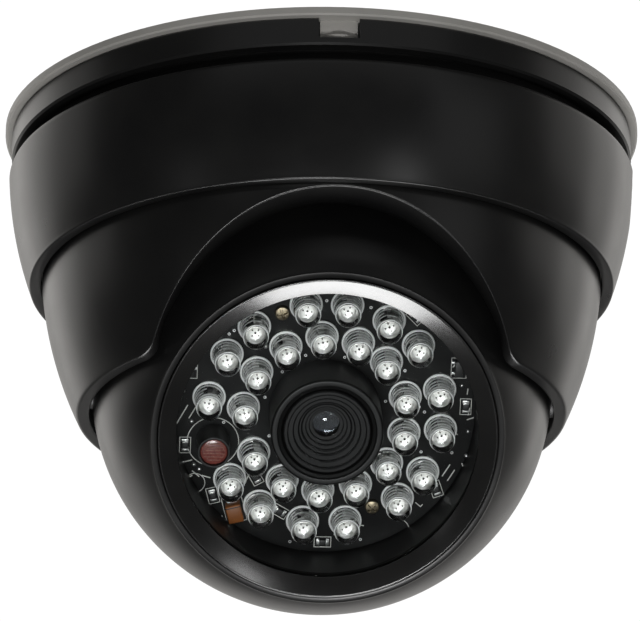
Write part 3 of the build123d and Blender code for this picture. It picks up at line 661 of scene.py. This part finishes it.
def line_into(bm, start, end, width, height, place, material=0):
    """Thin printed or plated line between two points."""
    start, end = Vector((*start, 0)), Vector((*end, 0))
    along = end - start
    middle = (start + end) / 2
    box_into(bm, tuple(middle), (along.length + width, width, height), place,
             math.degrees(math.atan2(along.y, along.x)), height * 0.3, material)


def ring_into(bm, radius, width, place, start, end):
    """Thin printed ring or arc, as short joined lines."""
    steps = max(6, int(abs(end - start) / 9))
    for i in range(steps):
        first = clock(radius, start + (end - start) * i / steps)
        last = clock(radius, start + (end - start) * (i + 1) / steps)
        line_into(bm, first, last, width, PRINT_H, place)


def frame_into(bm, width, height, line, place):
    """Thin printed rectangle."""
    x, y = width / 2, height / 2
    corners = [(-x, -y), (x, -y), (x, y), (-x, y)]
    for i, corner in enumerate(corners):
        line_into(bm, corner, corners[(i + 1) % 4], line, PRINT_H, place)


PRINT_H = 0.03
# Printed lines, each as its place, turn and length
MARKS = (
    (22.4, 9.4, 50, 1.6), (23.4, 8.4, -15, 1.9), (25.0, 0.6, 80, 1.2), (25.3, -0.7, 20, 1.1),
    (22.8, -3.4, -35, 0.9), (25.1, -8.7, 65, 1.2), (21.5, -10.4, 60, 2.4), (22.4, -11.3, 60, 2.2),
    (-24.8, -1.2, 62, 4.4), (-22.5, 0.2, 62, 4.0), (-23.6, -9.6, 15, 1.7), (-22.0, -11.9, -40, 1.5),
    (-23.2, -12.6, 30, 1.3), (-20.2, -12.4, -15, 1.4), (-17.9, -20.0, 20, 1.6), (-12.9, -12.2, 70, 2.6),
    (19.2, 15.8, -40, 1.3), (21.0, 12.6, -60, 1.1), (-6.8, 14.6, 30, 1.0), (6.9, -20.9, -10, 1.2),
    (14.7, -19.0, 35, 1.0), (24.6, 4.3, 85, 0.9),
)
# Printed corner ticks, each as its place and turn
TICKS = (
    (-12.4, 9.2, 60), (11.9, 10.3, -50), (22.8, -15.3, -35), (-9.9, 5.6, 75), (3.0, -22.7, 10),
    (-17.9, 19.0, 45), (16.9, -16.9, -40), (-4.2, 23.6, 5), (5.1, 23.4, -5), (12.5, 21.5, -30),
    (-13.5, 16.2, 35), (24.4, -9.6, -70),
)
PADS_AT = (
    (-12.8, -8.1), (-22.4, -10.2), (25.0, -3.1), (23.6, 5.4), (-24.6, 3.4), (-21.4, -11.0), (12.4, -9.6),
    (-10.6, 11.9), (9.6, 12.4), (24.9, -7.6), (-23.0, -2.2), (-20.9, 13.6), (19.7, 16.2), (-2.4, -23.9),
    (6.3, -22.6),
)
VIA_COUNT = 26
VIA_CLEARANCE = 3.3


def via_spots():
    """Seeded places for the vias, clear of every part on the board."""
    busy = [clock(OUTER_LED_R, a) for a in OUTER_LED_ANGLES]
    busy += [clock(INNER_LED_R, a) for a in INNER_LED_ANGLES]
    busy += [LDR_AT, CAPACITOR_AT, *BOARD_SCREWS_AT, *TRANSISTORS_AT]
    busy += [spot for spot, _ in RESISTORS]
    chance = random.Random(5)
    spots = []
    while len(spots) < VIA_COUNT:
        x, y = clock(chance.uniform(10.5, 25.0), chance.uniform(0, 360))
        if min(math.hypot(x - bx, y - by) for bx, by in busy) >= VIA_CLEARANCE:
            spots.append((x, y))
    return spots


def make_print():
    """Printed outlines, ticks, test pads and vias on the board."""
    bm = bmesh.new()
    ring_into(bm, 4.48, 0.16, on_board((-19.2, -5.9)), 0, 360)
    ring_into(bm, 1.9, 0.14, on_board((13.6, -21.6)), 20, 170)
    ring_into(bm, 1.75, 0.14, on_board((-22.1, -13.6)), -150, 150)
    for spot, turn in RESISTORS:
        frame_into(bm, 1.9, 2.9, 0.13, on_board(spot, turn))
    frame_into(bm, 3.5, 4.8, 0.12, on_board(CAPACITOR_AT, CAPACITOR_TURN))
    for spot in TRANSISTORS_AT:
        frame_into(bm, 2.6, 3.7, 0.12, on_board(spot))
    for x, y, turn, length in MARKS:
        line_into(bm, (-length / 2, 0), (length / 2, 0), 0.2, PRINT_H, on_board((x, y), turn))
    for x, y, turn in TICKS:
        line_into(bm, (-0.55, 0), (0.55, 0), 0.16, PRINT_H, on_board((x, y), turn))
        line_into(bm, (0.55, 0), (0.55, 0.5), 0.16, PRINT_H, on_board((x, y), turn))
    dome = [(0, 0.34)] + arc((0, -0.1), 0.44, 80, 13, 6) + [(0.43, -0.05), (0, -0.05)]
    for spot in PADS_AT:
        revolve_into(bm, dome, on_board(spot), 16, 1)
    for spot in via_spots():
        revolve_into(bm, [(0.12, 0), (0.27, 0), (0.27, 0.035), (0.12, 0.035)], on_board(spot), 12, 1)
    return [piece_from(bm, "board_print", [PRINT, TIN], "module", ())]


def make_chips():
    """Chips with tinned ends, and transistors with legs."""
    bm = bmesh.new()
    for spot, turn in RESISTORS:
        place = on_board(spot, turn)
        box_into(bm, (0, 0, 0.05), (1.0, 1.2, 0.5), place, 0, 0.06, 0)
        for side in (-1, 1):
            box_into(bm, (0, side * 0.68, 0.02), (1.04, 0.34, 0.55), place, 0, 0.08, 1)
            box_into(bm, (0, side * 0.85, 0), (1.2, 0.55, 0.14), place, 0, 0.06, 1)
    piece_from(bm, "chip_parts", [CHIP, TIN], "module", ["smd_resistors"])

    bm = bmesh.new()
    for spot in TRANSISTORS_AT:
        place = on_board(spot)
        box_into(bm, (0, 0, 0.1), (1.4, 2.9, 0.9), place, 0, 0.12, 0)
        for x, y in ((-0.95, -0.95), (-0.95, 0.95), (0.95, 0)):
            box_into(bm, (x, y, 0), (0.7, 0.45, 0.16), place, 0, 0.05, 1)
            box_into(bm, (x * 0.78, y, 0.1), (0.18, 0.42, 0.42), place, 0, 0.05, 1)
    piece_from(bm, "transistor_parts", [CHIP, TIN], "module", ["smd_transistors"])


def make_capacitor():
    """Orange capacitor with its polarity stripe, end leads and solder."""
    bm = bmesh.new()
    place = on_board(CAPACITOR_AT, CAPACITOR_TURN)
    box_into(bm, (0, 0, 0.05), CAPACITOR_SIZE, place, 0, 0.25, 0)
    box_into(bm, (0, 1.24, 0.06), (2.74, 0.3, 2.52), place, 0, 0.14, 1)
    for side in (-1, 1):
        box_into(bm, (0, side * 1.75, 0.02), (1.7, 0.3, 0.9), place, 0, 0.08, 2)
        box_into(bm, (0, side * 1.85, 0), (2.1, 0.6, 0.14), place, 0, 0.06, 2)
    piece_from(bm, "capacitor", [ORANGE, CHIP, TIN], "module", ["tantalum_capacitor"])


def make_light_sensor():
    """Red disc with a meandering track, set a little inside its shroud."""
    bm = bmesh.new()
    place = on_board(LDR_AT)
    disc = [(0, 0), (LDR_R, 0), (LDR_R, LDR_FACE - 0.25), (2.25, LDR_FACE - 0.06), (2.1, LDR_FACE),
            (0, LDR_FACE)]
    revolve_into(bm, disc, place, 64)
    on_face = place @ Matrix.Translation((0, 0, LDR_FACE))
    rows = 6
    pitch = 3.0 / (rows - 1)
    for i in range(rows):
        y = -1.5 + pitch * i
        half = math.sqrt(LDR_TRACK_R ** 2 - y ** 2)
        line_into(bm, (-half, y), (half, y), 0.20, 0.07, on_face, 1)
        if i + 1 < rows:
            nxt = y + pitch
            edge = min(half, math.sqrt(max(0.0, LDR_TRACK_R ** 2 - nxt ** 2))) * (1 if i % 2 else -1)
            line_into(bm, (edge, y), (edge, nxt), 0.20, 0.07, on_face, 1)
    piece_from(bm, "light_sensor", [LDR_TRACK, LDR_LINE], "module", ["ldr_sensor"])

    bm = bmesh.new()
    tube = [(SHROUD_BORE, 0), (SHROUD_R, 0), (SHROUD_R, SHROUD_H), (SHROUD_BORE, SHROUD_H)]
    revolve_into(bm, eased(tube, 0.12, 3), place, 96)
    piece_from(bm, "light_sensor_shroud", [SHADE], "module", ["ldr_shroud"])


def cross_recess(radius, distance, turn):
    """Sink a cross into the top of a screw head."""
    slot = min(abs(radius * math.sin(turn)), abs(radius * math.cos(turn)))
    deep = smooth((0.24 - slot) / 0.1) * smooth((0.95 - radius) / 0.15)
    return radius, distance - (0.4 * deep if distance > 0.7 else 0)


def make_board_screws():
    """Pan-head screws with a cross recess."""
    bm = bmesh.new()
    rows = [(0.07 * i, 0.9 - 0.12 * (0.07 * i / 1.2) ** 2) for i in range(17)]
    head = rows + [(1.24, 0.66), (1.33, 0.45), (1.35, 0.25), (1.35, 0), (0, 0)]
    for spot, turn in zip(BOARD_SCREWS_AT, (20, 50)):
        revolve_into(bm, head, on_board(spot, turn), 96, shape=cross_recess)
    piece_from(bm, "board_screw_heads", [BRASS], "module", ["board_screws"])


# ------------------------------------------------------------------ lens

SHADE_R = 9.73
SHADE_BORE = 7.9
SHADE_FRONT = 23.6
BARREL_R = 7.53
BARREL_SHANK_R = 6.0
BARREL_BACK = 2.6
BARREL_STEP = 17.0
BARREL_FRONT = 23.2
# Steps of the mouth, widest first, each as its radius, the distance of its floor and the size of its chamfer
MOUTH = (
    (6.7, 22.4, 0.2), (5.7, 21.7, 0.22), (4.75, 21.0, 0.26), (4.15, 20.4, 0.3), (3.5, 19.8, 0.16),
    (2.9, 19.2, 0.14),
)
CHAMFER_SLOPE = 0.53
MOUTH_R = 2.36
LENS_BORE_R = 3.4
GLASS_FRONT = 18.2
GLASS_DOME_R = 4.0
GLASS_DOME_CENTRE = 14.9


def make_lens():
    """Shade ring, barrel with its mouth of fine steps, and the domed front glass."""
    corners = [(SHADE_BORE, BOARD_FRONT), (SHADE_R, BOARD_FRONT), (SHADE_R, SHADE_FRONT - 0.3),
               (SHADE_R - 0.3, SHADE_FRONT - 0.02), (8.6, SHADE_FRONT - 0.02), (8.45, SHADE_FRONT - 0.35),
               (SHADE_BORE, SHADE_FRONT - 0.6)]
    revolved("lens_shade", eased(corners, 0.1, 3), FACE, [SHADE], "module", ["lens_shade_ring"],
             256)

    section = [(LENS_BORE_R, BARREL_BACK), (BARREL_SHANK_R, BARREL_BACK), (BARREL_SHANK_R, BARREL_STEP),
               (BARREL_R, BARREL_STEP), (BARREL_R, BARREL_FRONT - 0.2), (BARREL_R - 0.2, BARREL_FRONT)]
    front = BARREL_FRONT
    for radius, back, chamfer in MOUTH:
        section += [(radius + chamfer, front), (radius, front - chamfer * CHAMFER_SLOPE), (radius, back)]
        front = back
    section += [(MOUTH_R, front), (MOUTH_R, GLASS_FRONT), (LENS_BORE_R, GLASS_FRONT)]
    revolved("lens_barrel_turned", section, FACE, [ANODISED], "lens", ["lens_barrel"], 256,
             sharp=18)

    section = [(0, 16.9), (1.6, 16.75), (3.1, 16.62), (3.36, 16.66), (3.38, 18.1), (3.3, 18.18),
               (2.3, GLASS_FRONT)]
    for i in range(14):
        radius = 2.26 - 0.1614 * i
        section.append((radius, GLASS_DOME_CENTRE + math.sqrt(GLASS_DOME_R ** 2 - radius ** 2)))
    section.append((0, GLASS_DOME_CENTRE + GLASS_DOME_R))
    revolved("lens_glass", section, FACE, [COATED], "lens", ["lens_front_element"], 128)


# ------------------------------------------------------------------ camera, lights, floor

VIEW_AZIMUTH = math.radians(-3.2)
VIEW_ELEVATION = math.radians(-21.47)
VIEW_DISTANCE = 1.2
AIM_UP = 0.0130
AIM_LEFT = 0.00026
FOCAL_PER_WIDTH = 10.717
FLOOR_Z = -2.8
SEEN_STRENGTH = 1.05
DIM_STRENGTH = 0.05


def aimed(obj, place, target):
    """Put an object somewhere, with its -Z axis towards a target."""
    obj.location = place
    obj.rotation_euler = (Vector(target) - Vector(place)).to_track_quat("-Z", "Y").to_euler()


def make_camera():
    """Camera below and slightly left of the front, looking up at the dome."""
    away = Vector((math.sin(VIEW_AZIMUTH) * math.cos(VIEW_ELEVATION),
                   -math.cos(VIEW_AZIMUTH) * math.cos(VIEW_ELEVATION), math.sin(VIEW_ELEVATION)))
    right = Vector((math.cos(VIEW_AZIMUTH), math.sin(VIEW_AZIMUTH), 0))
    up = right.cross(-away)
    target = BALL + up * AIM_UP - right * AIM_LEFT
    data = bpy.data.cameras.new("camera")
    data.sensor_width = 36.0
    data.lens = data.sensor_width * FOCAL_PER_WIDTH
    camera = bpy.data.objects.new("camera", data)
    bpy.context.scene.collection.objects.link(camera)
    aimed(camera, target + away * VIEW_DISTANCE, target)
    bpy.context.scene.camera = camera


def soft_light(name, place, target, size, power, colour=(1, 1, 1)):
    """Soft rectangle light that the camera itself doesn't see."""
    data = bpy.data.lights.new(name, "AREA")
    data.shape = "RECTANGLE"
    data.size, data.size_y = size
    data.energy = power
    data.color = colour
    light = bpy.data.objects.new(name, data)
    bpy.context.scene.collection.objects.link(light)
    aimed(light, place, target)
    light.visible_camera = False
    return light


def receivers(light, pieces):
    """Collection of the pieces that a light's linking names; by default it reaches only those."""
    group = bpy.data.collections.new(light.name + "_receivers")
    for piece in pieces:
        group.objects.link(piece)
    light.light_linking.receiver_collection = group
    return group


WARM = (1.0, 0.975, 0.94)
WHITE = (1, 1, 1)
# Soft panels: name, place, size, power in watts and colour
PANELS = (
    ("back_panel", (0, 1.15, 0.22), (2.6, 1.3), 7.0, WARM),
    ("left_panel", (-0.84, 0.90, 0.42), (0.8, 0.85), 1.6, WARM),
    ("left_low", (-0.90, 0.80, -0.25), (0.8, 0.45), 0.16, WARM),
    ("left_side", (-1.12, 0.42, 0.36), (0.7, 0.6), 0.62, WARM),
    ("right_panel", (0.95, 0.72, 0.40), (0.8, 0.85), 1.5, WARM),
    ("right_low", (1.0, 0.60, -0.25), (0.9, 0.45), 0.22, WARM),
    ("right_side", (1.14, 0.26, 0.36), (0.8, 0.6), 0.85, WARM),
    ("below_panel", (0.0, 0.23, -0.60), (0.40, 0.26), 2.6, WHITE),
    ("front_left", (-1.05, -0.82, -0.30), (0.34, 0.24), 0.12, WHITE),
    ("front_right", (0.62, -1.21, -0.386), (0.30, 0.20), 0.65, WHITE),
    ("right_fill", (1.00, -0.85, 0.05), (0.6, 0.6), 0.40, WHITE),
    ("upper_front", (0.0, -1.17, 0.53), (2.2, 0.35), 0.8, WHITE),
    ("low_front", (-0.08, -0.86, -0.80), (0.36, 0.20), 5.5, WHITE),
)


def make_lights(sparkle, floor, pane):
    """Panels round the dome, a light for the clear parts only, one for the floor, and a dim room."""
    centre = (0, 0, -0.045)
    for name, place, size, power, colour in PANELS:
        # The pane mirrors none of the panels, so the board behind it stays clear from every side
        group = receivers(soft_light(name, place, centre, size, power, colour), [pane])
        group.collection_objects[0].light_linking.link_state = "EXCLUDE"
    receivers(soft_light("diode_light", (0.25, -1.10, -0.15), centre, (1.3, 0.8), 7.0), sparkle)
    receivers(soft_light("floor_light", (0, 0, 0.6), (0, 0, FLOOR_Z), (6.0, 6.0), 420.0), [floor])
    world = bpy.data.worlds.new("room")
    world.use_nodes = True
    nodes, links = world.node_tree.nodes, world.node_tree.links
    seen = nodes["Background"]
    seen.inputs["Color"].default_value = (1, 1, 1, 1)
    seen.inputs["Strength"].default_value = SEEN_STRENGTH
    dim = nodes.new("ShaderNodeBackground")
    dim.inputs["Color"].default_value = (1, 0.99, 0.97, 1)
    dim.inputs["Strength"].default_value = DIM_STRENGTH
    path = nodes.new("ShaderNodeLightPath")
    mix = nodes.new("ShaderNodeMixShader")
    links.new(path.outputs["Is Camera Ray"], mix.inputs["Fac"])
    links.new(dim.outputs["Background"], mix.inputs[1])
    links.new(seen.outputs["Background"], mix.inputs[2])
    links.new(mix.outputs["Shader"], nodes["World Output"].inputs["Surface"])
    bpy.context.scene.world = world
    bpy.context.scene.view_settings.view_transform = "Standard"


def make_floor():
    """Plain pale studio floor, well below the camera's line of sight."""
    floor_material = moulded("studio_floor", (0.78, 0.77, 0.75), (0.82, 0.81, 0.79), 0.7, 300, 0.0001)
    bm = bmesh.new()
    bmesh.ops.create_grid(bm, x_segments=24, y_segments=24, size=4.0)
    mesh = bpy.data.meshes.new("studio_floor")
    bm.to_mesh(mesh)
    bm.free()
    mesh.materials.append(floor_material)
    floor = bpy.data.objects.new("studio_floor", mesh)
    floor.location = (0, 0, FLOOR_Z)
    bpy.context.scene.collection.objects.link(floor)
    floor.visible_glossy = False
    floor.visible_diffuse = False
    return floor


# ------------------------------------------------------------------ dress the CAD nodes that stay

NODE_MATERIALS = {
    "mounting_plate": PALE, "base_housing": BLACK, "housing_screws": NICKEL, "seal_ring": RUBBER,
    "cover_lock_screw": STEEL, "cable_grommet": RUBBER, "pan_friction_ring": SLIP,
    "eyeball_shell_rear": BLACK, "tilt_pivot_left": STEEL, "tilt_pivot_right": STEEL,
    # Painted shade: the tilt friction washers are pale nylon parts, and they take a dark matte black to match
    # the dark gap where they sit
    "tilt_friction_washers": SHADE, "shell_screws": STEEL, "rear_cable_grommet": RUBBER,
    "window_gasket": RUBBER, "module_carrier": SHADE, "led_board": MASK,
    "board_standoffs": BRASS, "lens_holder": SHADE,
    "sensor_board": GREEN, "sensor_standoffs": BRASS, "image_sensor": CHIP, "ir_filter": FILTER,
    "lens_rear_element": COATED,
    "lens_lock_ring": ANODISED,
}


def dress_nodes():
    """Give each remaining CAD node its material."""
    for node, material in NODE_MATERIALS.items():
        slots = frame["nodes"][node].data.materials
        slots.clear()
        slots.append(material)


make_camera()
dress_nodes()
make_cover()
make_hood()
make_front_shell()
make_bezel()
window_pane = make_window()
bright_parts = make_leds("leds_outer", OUTER_LED_R, OUTER_LED_ANGLES, "ir_leds_outer", 11)
bright_parts += make_leds("leds_inner", INNER_LED_R, INNER_LED_ANGLES, "ir_leds_inner", 12)
bright_parts += make_print()
make_chips()
make_capacitor()
make_light_sensor()
make_board_screws()
make_lens()
make_lights(bright_parts, make_floor(), window_pane)
